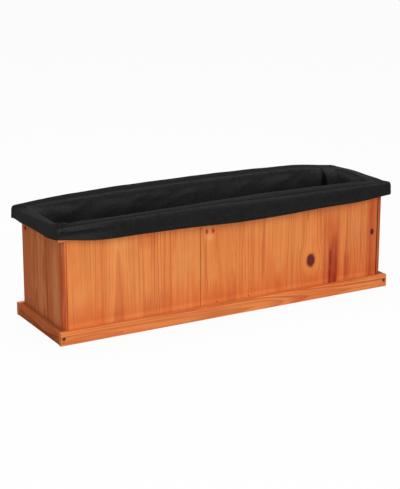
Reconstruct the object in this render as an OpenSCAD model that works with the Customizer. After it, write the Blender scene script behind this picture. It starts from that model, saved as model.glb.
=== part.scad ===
// Wooden planter box with a loose cloth liner.
// Edge-glued softwood boards on a plinth, a flat rim on top, a slatted floor on cleats,
// and a felt bag whose mouth is turned down over the rim.
// Millimetres. X runs along the box, the front faces -Y, Z is up.
// The origin is under the middle of the box, on the ground.

/* [Box] */
// Length of the box over its end panels
box_l = 972; // [600:1:1400]
// Depth of the box over its front and back boards
box_w = 255; // [200:1:400]
// Height of the wall boards
wall_h = 272; // [200:1:450]
// Thickness of the wall boards
board_t = 14; // [10:0.5:20]
// How far the edges of the end panels lie behind the front boards
end_setback = 4; // [1:0.5:6]
// Share of the box length at which the two front boards meet
front_seam_share = 0.4064; // [0.25:0.001:0.75]

/* [Plinth] */
// Height of the plinth rails
plinth_h = 35; // [25:1:60]
// Thickness of the plinth rails
plinth_t = 14; // [10:0.5:20]

/* [Rim] */
// How far the flat rim boards reach over the inside of the box
rim_lip = 2; // [0:0.25:6]
// Thickness of the flat rim boards
rim_t = 14; // [8:0.5:20]

/* [Floor] */
// Side of the square cleats that carry the floor
cleat_s = 20; // [14:0.5:26]
// Height of the cleats' undersides over the ground
cleat_z = 30; // [10:1:60]
// Number of floor slats
slat_count = 10; // [8:1:12]
// Thickness of the floor slats
slat_t = 10; // [6:0.5:16]
// Gap between two floor slats, where water drains
slat_gap = 8; // [4:0.5:14]
// Space left round the whole floor
floor_play = 1; // [0.5:0.5:2]

/* [Corner posts] */
// Side of the square corner posts
post_s = 20; // [16:0.5:24]

/* [Edges] */
// Width of the eased long edges of the boards
ease = 1.2; // [0.4:0.1:2.5]
// Space left where two boards meet
joint_gap = 0.3; // [0.1:0.05:0.6]
// How far the seam in each long wall has opened
seam_open = 0.3; // [0:0.1:2]

/* [Screws] */
// Diameter of the screw shanks
screw_d = 3.4; // [2.5:0.1:4]
// Diameter of the screw heads
screw_head_d = 7; // [5:0.1:8]
// Length of the long screws, through a rail or a post
screw_long = 30; // [26:1:32]
// Length of the screws through the wall boards into the plinth
screw_short = 24; // [18:1:26]
// Length of the screws through the slats into the cleats
screw_slat = 18; // [14:1:19]
// Diameter of the brads through the front boards
brad_d = 1.8; // [1.2:0.1:2.4]
// Diameter of the brad heads
brad_head_d = 3.2; // [2.6:0.1:4]
// Length of the brads
brad_l = 28; // [22:1:32]
// Space round each screw and brad in the wood
screw_play = 0.1; // [0.05:0.01:0.2]

/* [Liner] */
// Thickness of the felt
felt_t = 2; // [1.2:0.1:3]
// Space between the liner's walls and the rim's inner edge
liner_gap = 1.6; // [1:0.1:4]
// Space under and over what the liner rests on
rest_gap = 0.3; // [0.2:0.05:0.5]
// Space between the liner's sewn panels
sewn_gap = 0.2; // [0.1:0.05:0.4]
// How high the turned-down cuff stands over the rim at the corners
cuff_stand = 12; // [8:0.5:20]
// How much higher the cuff stands where it puffs up most
cuff_puff = 9; // [0:0.5:16]
// How far the cuff's skirt stands out from the rim at the corners
cuff_out = 2.6; // [2.4:0.1:6]
// How much further the skirt bows out at the middle of a long side
cuff_bow = 13; // [0:0.5:24]
// How far the cuff's inner edge leans over the planting space
cuff_lean = 10; // [0:0.5:18]
// How much higher the cuff's inner edge stands in front, and how much lower behind
cuff_rise = 3; // [0:0.25:5]
// How far the skirt hangs below the rim's top
skirt_drop = 20; // [14:0.5:40]
// How far the bag's walls sag inwards at half height
wall_sag = 7; // [0:0.5:16]
// Depth of the soft folds in the bag's long walls
wall_fold = 3; // [0:0.25:5]
// Room that the bag's corners leave round the posts, along each side
post_play = 10; // [8:0.5:20]
// Width of the cut across the cuff's top at its corners
cuff_corner = 7; // [4:0.5:12]
// Height of the upright foot of the bag's walls, round the bottom
bag_foot = 4; // [3:0.5:10]

/* [Hidden] */
// Overrun of every cut
over = 1;

// Outer size of the plinth and of the rim, which lie flush
outer_l = box_l + 2 * plinth_t;
outer_w = box_w + 2 * plinth_t;
// The rim boards lie over the plinth's width and the wall boards
rim_w = plinth_t + board_t + rim_lip;
// Inner size of the box
inner_l = box_l - 2 * board_t;
inner_w = box_w - 2 * board_t;
// Place of the seam between the two long boards
seam_x = (front_seam_share - 0.5) * box_l;
// Heights
rim_z = wall_h + rim_t;
slat_z = cleat_z + cleat_s;
floor_z = slat_z + slat_t;
// Floor slats share the inner length
slat_w = (inner_l - 2 * floor_play - (slat_count - 1) * slat_gap) / slat_count;
slat_pitch = slat_w + slat_gap;

// Screw places. Rows follow the length of what they hold, as shares of it.
rail_row_share = [0.12, 0.5, 0.88];
rim_row_share = [0.04, 0.22, 0.37, 0.53, 0.74, 0.96];
rim_end_row_share = [0.25, 0.75];
cleat_row_share = [0.07, 0.2, 0.36, 0.6, 0.78, 0.93];
post_row_share = [0.18, 0.8];
// The screws of a post's two rows pass each other at different heights
post_stagger_share = 0.08;
// Brads go through the long boards into the cleats, near the middle of the box
brad_row_share = [0.4575, 0.558];
// Height of the cleat screws in the cleats, under the tips of the slat screws
cleat_screw_share = 0.4;
// The plinth's end screws sit in the middle of the end rails
rail_screw_in = plinth_t / 2 + end_setback / 2;
rail_screw_z = plinth_h * 0.55;
// The screws through the boards into the rails sit lower
board_screw_z = plinth_h * 0.42;

// Bag and cuff. Each row of shares follows one side of the box, counter-clockwise from
// the front left corner: front, right end, back, left end.
puff_shares = [
    [1.25, 1.35, 1.5, 1.6, 1.5, 1.35, 1.15, 0.95, 0.4],
    [0.4, 0.35, 0.5, 0.5, 0.55, 0.6, 0.5, 0.2, 0],
    [0, 0.6, 0.85, 1.1, 1.2, 1.25, 1.1, 0.8, 0.2],
    [0.2, -0.1, -0.05, 0.05, 0.2, 0.3, 0.45, 0.65, 1.25]];
press_shares = [
    [0, 0, 0, 0, 0, 0, 0, 0, 0],
    [0, 0.15, 0.15, 0.2, 0.25, 0.4, 0.6, 0.85, 1],
    [1, 0.15, 0, 0, 0, 0, 0, 0, 0],
    [0, 0, 0, 0, 0, 0, 0, 0, 0]];
bow_shares = [
    [0, 0.25, 0.5, 0.65, 0.75, 0.75, 0.6, 0.35, 0.1],
    [0.1, 0.1, 0.15, 0.2, 0.2, 0.2, 0.15, 0.1, 0],
    [0, 0.4, 0.7, 0.9, 1, 0.95, 0.8, 0.5, 0.2],
    [0.2, 0.2, 0.2, 0.15, 0.05, 0, 0, 0, 0]];
lean_shares = [
    [0.2, 0.4, 0.6, 0.75, 0.85, 0.9, 0.75, 0.6, 0.2],
    [0.2, 0, -0.1, -0.2, -0.2, -0.2, -0.2, -0.1, 0],
    [0, 0, 0, 0, 0, 0, 0, 0, 0],
    [0, 0.1, 0, -0.05, -0.15, -0.25, -0.5, -0.4, 0.2]];
rise_shares = [
    [0.4, -0.3, -0.65, -0.7, -0.45, -0.05, -0.2, -0.15, -0.45],
    [-0.45, 0.2, 0.6, 0.8, 0.9, 0.9, 0.8, 0.4, 0],
    [0, -0.45, -0.9, -1.1, -1.15, -1.2, -1.2, -0.95, -0.15],
    [-0.15, 0.05, -0.15, -0.45, -0.75, -0.95, -1.2, -0.95, 0.4]];
drop_shares = [
    [0.2, 0.95, 1, 1.1, 1.35, 1.35, 1.2, 1.2, 0.85],
    [0.85, 0.95, 1, 1, 1.05, 1.05, 1.05, 1, 1],
    [1, 1.05, 1.1, 1.2, 1.2, 1.2, 1.1, 1.05, 1],
    [1, 0.8, 0.85, 0.75, 0.75, 0.75, 0.75, 0.5, 0.2]];
// Steps along the straight part of each side
long_steps = 20;
short_steps = 8;

SLATS = [for (i = [1 : slat_count]) str("floor_slat_", i)];

// Colours as photographed
front_wood = [0.86, 0.47, 0.26];
end_wood = [0.68, 0.36, 0.22];
rail_wood = [0.87, 0.51, 0.31];
hidden_wood = [0.82, 0.56, 0.36];
steel = [0.42, 0.4, 0.38];
felt = [0.14, 0.14, 0.15];

// A board along X with its four long edges eased, centred on X and Y, standing on Z = 0
module board(l, w, h) {
    rotate([90, 0, 90])
        translate([0, 0, -l / 2])
            linear_extrude(height = l)
                eased_rectangle(w, h);
}

// An upright board with its four upright edges eased
module upright(l, w, h) {
    linear_extrude(height = h)
        translate([0, -w / 2])
            eased_rectangle(l, w);
}

// A rectangle centred on X and standing on Y = 0, with its corners cut off
module eased_rectangle(w, h) {
    polygon([
        [-w / 2 + ease, 0], [w / 2 - ease, 0], [w / 2, ease], [w / 2, h - ease],
        [w / 2 - ease, h], [-w / 2 + ease, h], [-w / 2, h - ease], [-w / 2, ease]]);
}

// A countersunk screw pointing down, its head flush with Z = 0
module screw(d, head_d, l, play = 0) {
    head_h = (head_d - d) / 2;
    // the head's cone
    translate([0, 0, -head_h - play])
        cylinder(h = head_h + play, d1 = d + 2 * play, d2 = head_d + 2 * play, $fn = 32);
    // the shank
    translate([0, 0, -l + d])
        cylinder(h = l - d, d = d + 2 * play, $fn = 32);
    // the point
    translate([0, 0, -l - play])
        cylinder(h = d + play, d1 = d / 4, d2 = d + 2 * play, $fn = 32);
    if (play > 0)
        cylinder(h = over, d = head_d + 2 * play, $fn = 32);
}

// Turn what points down so that it points to the front, back, left or right
module to_front() { rotate([-90, 0, 0]) children(); }
module to_back() { rotate([90, 0, 0]) children(); }
module to_left() { rotate([0, 90, 0]) children(); }
module to_right() { rotate([0, -90, 0]) children(); }

// Place of share s of a length, measured from its middle
function along(l, s) = (s - 0.5) * l;

// Screws through the front and back plinth rails into the ends of the end rails
module all_plinth_screws(play = 0) {
    for (x = [-1, 1], y = [-1, 1])
        translate([x * (outer_l / 2 - rail_screw_in), y * outer_w / 2, rail_screw_z])
            rotate([0, 0, y > 0 ? 180 : 0])
                to_back() screw(screw_d, screw_head_d, screw_long, play);
}

// Screws from inside through the wall boards into the plinth rails
module all_board_screws(play = 0) {
    for (s = rail_row_share, y = [-1, 1])
        translate([along(inner_l, s), y * inner_w / 2, board_screw_z])
            rotate([0, 0, y > 0 ? 180 : 0])
                to_front() screw(screw_d, screw_head_d, screw_short, play);
    for (s = rim_end_row_share, x = [-1, 1])
        translate([x * inner_l / 2, along(inner_w, s), board_screw_z])
            rotate([0, 0, x > 0 ? 180 : 0])
                to_left() screw(screw_d, screw_head_d, screw_short, play);
}

// Screws through the rim into the top edges of the wall boards
module all_rim_screws(play = 0) {
    for (s = rim_row_share, y = [-1, 1])
        translate([along(inner_l, s), y * (box_w - board_t) / 2, rim_z])
            screw(screw_d, screw_head_d, screw_long, play);
    for (s = rim_end_row_share, x = [-1, 1])
        translate([x * (box_l - board_t) / 2, along(inner_w, s), rim_z])
            screw(screw_d, screw_head_d, screw_long, play);
}

// Screws through the posts, two into each of the walls that meet there
module all_post_screws(play = 0) {
    post_h = wall_h - floor_z;
    for (x = [-1, 1], y = [-1, 1], s = post_row_share) {
        translate([x * (inner_l - post_s) / 2, y * (inner_w / 2 - post_s), floor_z + s * post_h])
            rotate([0, 0, y > 0 ? 180 : 0])
                to_front() screw(screw_d, screw_head_d, screw_long, play);
        translate([x * (inner_l / 2 - post_s), y * (inner_w - post_s) / 2,
                   floor_z + (s - post_stagger_share) * post_h])
            rotate([0, 0, x > 0 ? 180 : 0])
                to_left() screw(screw_d, screw_head_d, screw_long, play);
    }
}

// Screws through the cleats into the wall boards
module all_cleat_screws(play = 0) {
    for (s = cleat_row_share, y = [-1, 1])
        translate([along(inner_l, s), y * (inner_w / 2 - cleat_s),
                   cleat_z + cleat_screw_share * cleat_s])
            rotate([0, 0, y > 0 ? 180 : 0])
                to_front() screw(screw_d, screw_head_d, screw_long, play);
}

// Brads through the long boards into the cleats
module all_board_brads(play = 0) {
    for (s = brad_row_share, y = [-1, 1])
        translate([along(box_l, s), y * box_w / 2, cleat_z + cleat_s / 2])
            rotate([0, 0, y > 0 ? 180 : 0])
                to_back() screw(brad_d, brad_head_d, brad_l, play);
}

// The two screws of one slat, down into the cleats
module slat_screw_pair(play = 0) {
    for (y = [-1, 1])
        translate([0, y * (inner_w - cleat_s) / 2, floor_z])
            screw(screw_d, screw_head_d, screw_slat, play);
}

function slat_x(i) = -inner_l / 2 + floor_play + slat_w / 2 + (i - 1) * slat_pitch;

module all_slat_screws(play = 0) {
    for (i = [1 : slat_count])
        translate([slat_x(i), 0, 0]) slat_screw_pair(play);
}

// One long wall board, from x0 to x1, on the front or, turned round, on the back
module wall_board(x0, x1, side) {
    difference() {
        translate([(x0 + x1) / 2, side * (box_w - board_t) / 2, 0])
            upright(x1 - x0 - joint_gap, board_t, wall_h);
        all_board_screws(screw_play);
        all_rim_screws(screw_play);
        all_post_screws(screw_play);
        all_cleat_screws(screw_play);
        all_board_brads(screw_play);
    }
}

module front_board_left() { color(front_wood) wall_board(-inner_l / 2, seam_x - seam_open / 2, -1); }
module front_board_right() { color(front_wood) wall_board(seam_x + seam_open / 2, inner_l / 2, -1); }
module back_board_left() { color(front_wood) wall_board(-inner_l / 2, seam_x - seam_open / 2, 1); }
module back_board_right() { color(front_wood) wall_board(seam_x + seam_open / 2, inner_l / 2, 1); }

// One end panel, whose edges show beside the front boards
module end_panel(side) {
    difference() {
        translate([side * (box_l - board_t) / 2, 0, 0])
            rotate([0, 0, 90])
                upright(box_w - 2 * end_setback, board_t, wall_h);
        all_board_screws(screw_play);
        all_rim_screws(screw_play);
        all_post_screws(screw_play);
    }
}

module left_end_panel() { color(end_wood) end_panel(-1); }
module right_end_panel() { color(end_wood) end_panel(1); }

// The long plinth rails cover the ends of the short ones
module long_rail(side) {
    difference() {
        translate([0, side * (outer_w - plinth_t) / 2, 0]) board(outer_l, plinth_t, plinth_h);
        all_plinth_screws(screw_play);
        all_board_screws(screw_play);
    }
}

module short_rail(side) {
    difference() {
        translate([side * (outer_l - plinth_t) / 2, 0, 0])
            rotate([0, 0, 90]) board(box_w - 2 * joint_gap, plinth_t, plinth_h);
        all_plinth_screws(screw_play);
        all_board_screws(screw_play);
    }
}

module plinth_front() { color(rail_wood) long_rail(-1); }
module plinth_back() { color(rail_wood) long_rail(1); }
module plinth_left() { color(rail_wood) short_rail(-1); }
module plinth_right() { color(rail_wood) short_rail(1); }

// The flat rim boards lie on the wall boards, flush with the plinth
module long_rim(side) {
    difference() {
        translate([0, side * (outer_w - rim_w) / 2, wall_h]) board(outer_l, rim_w, rim_t);
        all_rim_screws(screw_play);
    }
}

module short_rim(side) {
    difference() {
        translate([side * (outer_l - rim_w) / 2, 0, wall_h])
            rotate([0, 0, 90]) board(outer_w - 2 * rim_w - 2 * joint_gap, rim_w, rim_t);
        all_rim_screws(screw_play);
    }
}

module rim_front() { color(rail_wood) long_rim(-1); }
module rim_back() { color(rail_wood) long_rim(1); }
module rim_left() { color(rail_wood) short_rim(-1); }
module rim_right() { color(rail_wood) short_rim(1); }

// A post stands on the floor in each corner, under the rim
module post(x, y) {
    difference() {
        translate([x * (inner_l - post_s) / 2, y * (inner_w - post_s) / 2, floor_z])
            upright(post_s, post_s, wall_h - floor_z);
        all_post_screws(screw_play);
    }
}

module post_front_left() { color(hidden_wood) post(-1, -1); }
module post_front_right() { color(hidden_wood) post(1, -1); }
module post_back_left() { color(hidden_wood) post(-1, 1); }
module post_back_right() { color(hidden_wood) post(1, 1); }

// Cleats along the long boards carry the floor
module cleat(side) {
    difference() {
        translate([0, side * (inner_w - cleat_s) / 2, cleat_z])
            board(inner_l - 2 * floor_play, cleat_s, cleat_s);
        all_cleat_screws(screw_play);
        all_board_brads(screw_play);
        all_slat_screws(screw_play);
    }
}

module cleat_front() { color(hidden_wood) cleat(-1); }
module cleat_back() { color(hidden_wood) cleat(1); }

// A floor slat lies across the two cleats
module floor_slat(i) {
    color(hidden_wood)
        difference() {
            translate([slat_x(i), 0, slat_z])
                rotate([0, 0, 90]) board(inner_w - 2 * floor_play, slat_w, slat_t);
            translate([slat_x(i), 0, 0]) slat_screw_pair(screw_play);
        }
}

module plinth_screws() { color(steel) all_plinth_screws(); }
module board_screws() { color(steel) all_board_screws(); }
module rim_screws() { color(steel) all_rim_screws(); }
module post_screws() { color(steel) all_post_screws(); }
module cleat_screws() { color(steel) all_cleat_screws(); }
module slat_screws() { color(steel) all_slat_screws(); }
module board_brads() { color(steel) all_board_brads(); }

// The liner. One panel of felt per side rises from the floor inside the box, turns over
// the rim and hangs down outside as a skirt. Its section is a line of points, given by
// how far they lie outside the rim (n), their height (z) and the cut across the corners
// at their height (c). The line gets the felt's thickness and runs along the side.

// Smooth value at place s, from 0 to 1, of a row of evenly spaced shares
function smooth_share(row, s) =
    let (last = len(row) - 1, i = min(floor(s * last), last - 1), t = s * last - i,
         a = row[max(i - 1, 0)], b = row[i], c = row[i + 1], d = row[min(i + 2, last)])
    b + t * (c - a + t * (2 * a - 5 * b + 4 * c - d + t * (3 * (b - c) + d - a))) / 2;

// Line of the felt's middle: the bag's wall, the puffed top and the skirt
bag_n = -rim_w - liner_gap - felt_t / 2;
rest_h = rest_gap + felt_t / 2;
bag_foot_z = floor_z + rest_gap;
// The bag is cut across its corners to pass the posts, and its skirt to pass the rim's
bag_corner = 2 * (post_s - rim_lip - liner_gap - felt_t / 2) + post_play;
skirt_corner = 2 * cuff_out - felt_t - rest_gap * sqrt(2);
function felt_line(side, s) =
    let (press = smooth_share(press_shares[side], s),
         puff = cuff_puff * smooth_share(puff_shares[side], s),
         stand = (cuff_stand - rest_h) * (1 - press) + puff,
         top = rim_z + rest_h + stand,
         bow = cuff_bow * smooth_share(bow_shares[side], s),
         lean = cuff_lean * smooth_share(lean_shares[side], s),
         rise = cuff_rise * smooth_share(rise_shares[side], s),
         drop = skirt_drop * smooth_share(drop_shares[side], s),
         sag = sin(180 * s) * (wall_sag + wall_fold * sin(1440 * s)),
         bag_h = rim_z - bag_foot_z)
    [[bag_n, bag_foot_z, bag_corner],
     [bag_n, bag_foot_z + bag_foot, bag_corner],
     [bag_n - 0.7 * sag, bag_foot_z + 0.25 * bag_h, bag_corner],
     [bag_n - sag, bag_foot_z + 0.55 * bag_h, bag_corner],
     [bag_n - 0.4 * sag, bag_foot_z + 0.85 * bag_h, bag_corner],
     [bag_n, rim_z - felt_t / 2, bag_corner * 0.85],
     [bag_n - lean + felt_t * 0.75, top + rise - 0.12 * stand, bag_corner * 0.4],
     [bag_n - lean + rim_w * 0.2, top + 0.7 * rise, bag_corner * 0.32],
     [-rim_w * 0.55 - 0.3 * lean, top, bag_corner * 0.26],
     [-rim_w * 0.15 + 0.35 * bow, top - 0.7 * rise, cuff_corner * 1.5],
     [felt_t * 0.6 + 0.7 * bow, top - 0.15 * stand - 1.2 * rise, skirt_corner + 0.2 * stand],
     [cuff_out + 0.9 * bow, top - rest_h - 0.55 * stand - 0.6 * rise,
      skirt_corner + 0.05 * stand],
     [cuff_out + bow, rim_z - 0.5 * drop, skirt_corner],
     [cuff_out + bow, rim_z - drop, skirt_corner]];

// Unit normal of a line at point i, in the section's plane
function line_normal(p, i) =
    let (a = p[max(i - 1, 0)], b = p[min(i + 1, len(p) - 1)],
         d = [b[0] - a[0], b[1] - a[1]], m = norm(d))
    [-d[1] / m, d[0] / m];

// The closed section: one face of the felt out, the other face back
function felt_section(p) =
    let (last = len(p) - 1, half = felt_t / 2)
    concat(
        [for (i = [0 : last])
            [p[i][0] + half * line_normal(p, i)[0], p[i][1] + half * line_normal(p, i)[1], p[i][2]]],
        [for (i = [last : -1 : 0])
            [p[i][0] - half * line_normal(p, i)[0], p[i][1] - half * line_normal(p, i)[1], p[i][2]]]);

// A side's stations: m runs along the straight part, from -1 to 1, and k is 1 at the
// end of the cut across the corner
function stations(steps) =
    concat([[-1, 1]], [for (i = [0 : steps]) [2 * i / steps - 1, 0]], [[1, 1]]);

// A point of the section, placed on a side of half length h that lies at distance b
function side_point(q, m, k, h, b) =
    let (cut = q[2] / 2, edge = m < 0 ? -1 : 1, along_x = (h + q[0] - q[2]) * m)
    [k > 0 ? edge * (h + q[0] - cut - sewn_gap / 2) : along_x,
     -(b + q[0] - k * cut),
     q[1]];

// One felt panel, built facing the front
module felt_side(side, h, b, steps) {
    rows = stations(steps);
    end_share = bag_corner / 4 / h;
    sections = [for (r = rows)
        let (s = 0.5 + r[0] * (0.5 - (1 - r[1]) * end_share))
        [for (q = felt_section(felt_line(side, s))) side_point(q, r[0], r[1], h, b)]];
    ring = len(sections[0]);
    last = len(rows) - 1;
    points = [for (s = sections, p = s) p];
    walls = [for (j = [0 : last - 1], i = [0 : ring - 1])
        let (n = (i + 1) % ring, a = j * ring, c = (j + 1) * ring)
        each [[a + i, a + n, c + n], [a + i, c + n, c + i]]];
    half = ring / 2;
    // the ends are closed strip by strip, between the felt's two faces
    ends = [for (i = [0 : half - 2])
        let (n = ring - 1 - i, e = last * ring)
        each [[i, n, n - 1], [i, n - 1, i + 1],
              [e + i, e + n - 1, e + n], [e + i, e + i + 1, e + n - 1]]];
    color(felt)
        polyhedron(points = points, faces = concat(walls, ends), convexity = 6);
}

module liner_front() { felt_side(0, outer_l / 2, outer_w / 2, long_steps); }
module liner_right() { rotate([0, 0, 90]) felt_side(1, outer_w / 2, outer_l / 2, short_steps); }
module liner_back() { rotate([0, 0, 180]) felt_side(2, outer_l / 2, outer_w / 2, long_steps); }
module liner_left() { rotate([0, 0, 270]) felt_side(3, outer_w / 2, outer_l / 2, short_steps); }

// The bag's flat bottom lies on the slats, inside its walls
module liner_base() {
    l = outer_l / 2 + bag_n - felt_t / 2 - sewn_gap;
    w = outer_w / 2 + bag_n - felt_t / 2 - sewn_gap;
    c = bag_corner;
    color(felt)
        translate([0, 0, bag_foot_z])
            linear_extrude(height = felt_t)
                polygon([
                    [-l + c, -w], [l - c, -w], [l, -w + c], [l, w - c],
                    [l - c, w], [-l + c, w], [-l, w - c], [-l, -w + c]]);
}

front_board_left();
front_board_right();
back_board_left();
back_board_right();
left_end_panel();
right_end_panel();
plinth_front();
plinth_back();
plinth_left();
plinth_right();
rim_front();
rim_back();
rim_left();
rim_right();
post_front_left();
post_front_right();
post_back_left();
post_back_right();
cleat_front();
cleat_back();
for (i = [1 : slat_count])
    floor_slat(i);
plinth_screws();
board_screws();
rim_screws();
post_screws();
cleat_screws();
slat_screws();
board_brads();
liner_front();
liner_right();
liner_back();
liner_left();
liner_base();
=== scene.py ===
# %% [markdown]
# # A long wooden planter box with a felt liner
# The box is made of stained softwood: two long walls and two end walls of upright boards,
# a plinth of low rails round the foot, and a flat rim. A black felt bag hangs in it, and
# its mouth is turned down over the rim.
#
# The construction comes in as a fixed frame, in metres, with every board in its place.
# The boards could be modelled again here, but their shapes are right already, so they
# only get their wood. The screws and the felt are made anew.

# %% Load the construction
import math

import bmesh
import bpy
import numpy as np
from mathutils import Matrix, Vector, noise


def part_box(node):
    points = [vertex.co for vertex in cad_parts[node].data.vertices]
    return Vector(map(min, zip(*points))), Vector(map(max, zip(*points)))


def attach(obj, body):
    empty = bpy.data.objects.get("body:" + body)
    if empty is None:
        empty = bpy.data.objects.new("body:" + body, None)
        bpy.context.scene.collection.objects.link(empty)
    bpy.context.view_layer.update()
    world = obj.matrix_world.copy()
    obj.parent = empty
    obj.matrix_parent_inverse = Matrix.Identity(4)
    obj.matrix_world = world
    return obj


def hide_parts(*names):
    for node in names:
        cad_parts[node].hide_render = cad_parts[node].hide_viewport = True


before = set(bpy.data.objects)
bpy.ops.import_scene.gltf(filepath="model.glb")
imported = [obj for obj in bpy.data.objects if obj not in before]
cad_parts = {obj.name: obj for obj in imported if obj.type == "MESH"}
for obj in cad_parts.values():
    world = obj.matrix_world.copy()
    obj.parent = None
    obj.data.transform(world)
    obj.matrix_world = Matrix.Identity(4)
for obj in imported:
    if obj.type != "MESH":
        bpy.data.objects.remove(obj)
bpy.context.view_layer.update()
print("boards and fittings:", len(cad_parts))

# %% [markdown]
# ## Camera
# The planter is seen from its front left, a little from above. The camera could be moved
# by eye until the edges agree. Here its place, turn and focal length were worked out from
# the box's straight edges, which is exact and leaves nothing to try.


# %% Place the camera
def deselect():
    bpy.ops.object.select_all(action="DESELECT")


deselect()
bpy.ops.object.camera_add(
    location=(-1.93698, -3.40833, 1.34231),
    rotation=[math.radians(a) for a in (73.1859, -0.0938, -29.3083)],
)
camera = bpy.context.object
camera.data.lens = 111.22
camera.data.sensor_width = 36
bpy.context.scene.camera = camera
bpy.context.scene.view_settings.view_transform = "Standard"
print("camera looks along", [round(x, 3) for x in camera.rotation_euler.to_matrix().col[2] * -1])

# %% [markdown]
# ## Sockets that do arithmetic
# A finish such as wood is a long sum of patterns. Drawing each Math node by hand hides
# that sum, so a small class wraps an output socket and adds a Math node for every plus
# and times. One method makes all the other nodes.


# %% Wrap a socket
class Wire:
    """An output of a node. Arithmetic on wires adds Math nodes to their finish."""

    def __init__(self, finish, socket):
        self.finish, self.socket = finish, socket

    def math(self, operation, *values):
        inputs = dict(enumerate(values))
        return self.finish.node("Math", {"operation": operation}, inputs)

    def __add__(self, other):
        return self.math("ADD", self, other)

    def __sub__(self, other):
        return self.math("SUBTRACT", self, other)

    def __rsub__(self, other):
        return self.math("SUBTRACT", other, self)

    def __mul__(self, other):
        return self.math("MULTIPLY", self, other)

    def __truediv__(self, other):
        return self.math("DIVIDE", self, other)

    def __pow__(self, other):
        return self.math("POWER", self, other)

    __radd__ = __add__
    __rmul__ = __mul__

    def size(self):
        return self.math("ABSOLUTE", self)

    def whole(self):
        return self.math("FLOOR", self)

    def part(self):
        return self.math("FRACT", self)

    def most(self, other):
        return self.math("MAXIMUM", self, other)

    def bell(self):
        """Turns a squared distance into a soft spot: 1 in the middle, 0 far away."""
        return self.math("EXPONENT", self * -1)

    def step(self, start, end):
        """Rises smoothly from 0 at start to 1 at end."""
        settings = {"interpolation_type": "SMOOTHSTEP"}
        return self.finish.node("MapRange", settings, {0: self, 1: start, 2: end})

    def hump(self, start, full, fall, end):
        """Rises from start to full, and falls again from fall to end."""
        return self.step(start, full) * (1 - self.step(fall, end))


# %% Wrap a material
class Finish:
    """A material, or the world, that is put together from nodes."""

    def __init__(self, name, world=None):
        self.material = world or bpy.data.materials.new(name)
        self.material.use_nodes = True
        self.tree = self.material.node_tree
        self.shader = self.tree.nodes["Background" if world else "Principled BSDF"]

    def feed(self, socket, value):
        if isinstance(value, Wire):
            self.tree.links.new(value.socket, socket)
        else:
            is_colour = isinstance(value, (list, tuple))
            socket.default_value = (*value, 1) if is_colour else value

    def node(self, kind, settings=None, inputs=None, output=0):
        made = self.tree.nodes.new("ShaderNode" + kind)
        settings = dict(settings or {})
        stops = settings.pop("stops", None)
        for key, value in settings.items():
            setattr(made, key, value)
        if stops:
            ramp = made.color_ramp
            ramp.interpolation = "CONSTANT"
            while len(ramp.elements) < len(stops):
                ramp.elements.new(0.5)
            for place, (at, colour) in enumerate(sorted(stops)):
                ramp.elements[place].position = at
                ramp.elements[place].color = colour
        for key, value in (inputs or {}).items():
            self.feed(made.inputs[key], value)
        return Wire(self, made.outputs[output])

    def parts(self, output):
        """The three parts of a point's place, "Object", or of its facing, "Normal"."""
        vector = self.node("TexCoord", output=output)
        return [self.node("SeparateXYZ", inputs={0: vector}, output=i) for i in range(3)]

    def background(self):
        """1 for the rays of the camera, of a gloss and of glass, and 0 for all others."""
        rays = ("Is Camera Ray", "Is Glossy Ray", "Is Transmission Ray")
        seen, gloss, glass = (self.node("LightPath", output=ray) for ray in rays)
        return seen.most(gloss).most(glass)

    def cloud(self, x, y, z, detail=2.0, seed=0.0):
        """Soft noise from 0 to 1 at a point."""
        at = self.node("CombineXYZ", inputs={0: x, 1: y, 2: z + seed})
        return self.node("TexNoise", {}, {"Vector": at, "Scale": 1.0, "Detail": detail})

    def mix(self, first, second, share, way="MIX"):
        settings = {"data_type": "RGBA", "blend_type": way}
        return self.node("Mix", settings, {0: share, 6: first, 7: second}, output=2)

    def shade(self, colour, value):
        """Multiplies a colour by a number."""
        grey = self.node("CombineColor", inputs={0: value, 1: value, 2: value})
        return self.mix(colour, grey, 1.0, "MULTIPLY")

    def dress(self, inputs):
        """Feeds the shader's own sockets, by their names."""
        for name, value in inputs.items():
            self.feed(self.shader.inputs[name], value)


print("helpers ready")

# %% [markdown]
# ## Wood
# A softwood board shows its growth rings: pale early wood that darkens to a thin line of
# late wood, again and again. A stretched noise could pass for grain from far off, but it
# shows no pointed flames and no end grain. So the rings are made as they grow, round
# the heart of the trunk: the distance of a point from the heart, cut into rings. Where
# the heart lies behind a board, flames appear. Where it lies beside it, straight lines
# do. Each glued stave has a heart of its own, in a table along the wall.


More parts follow.
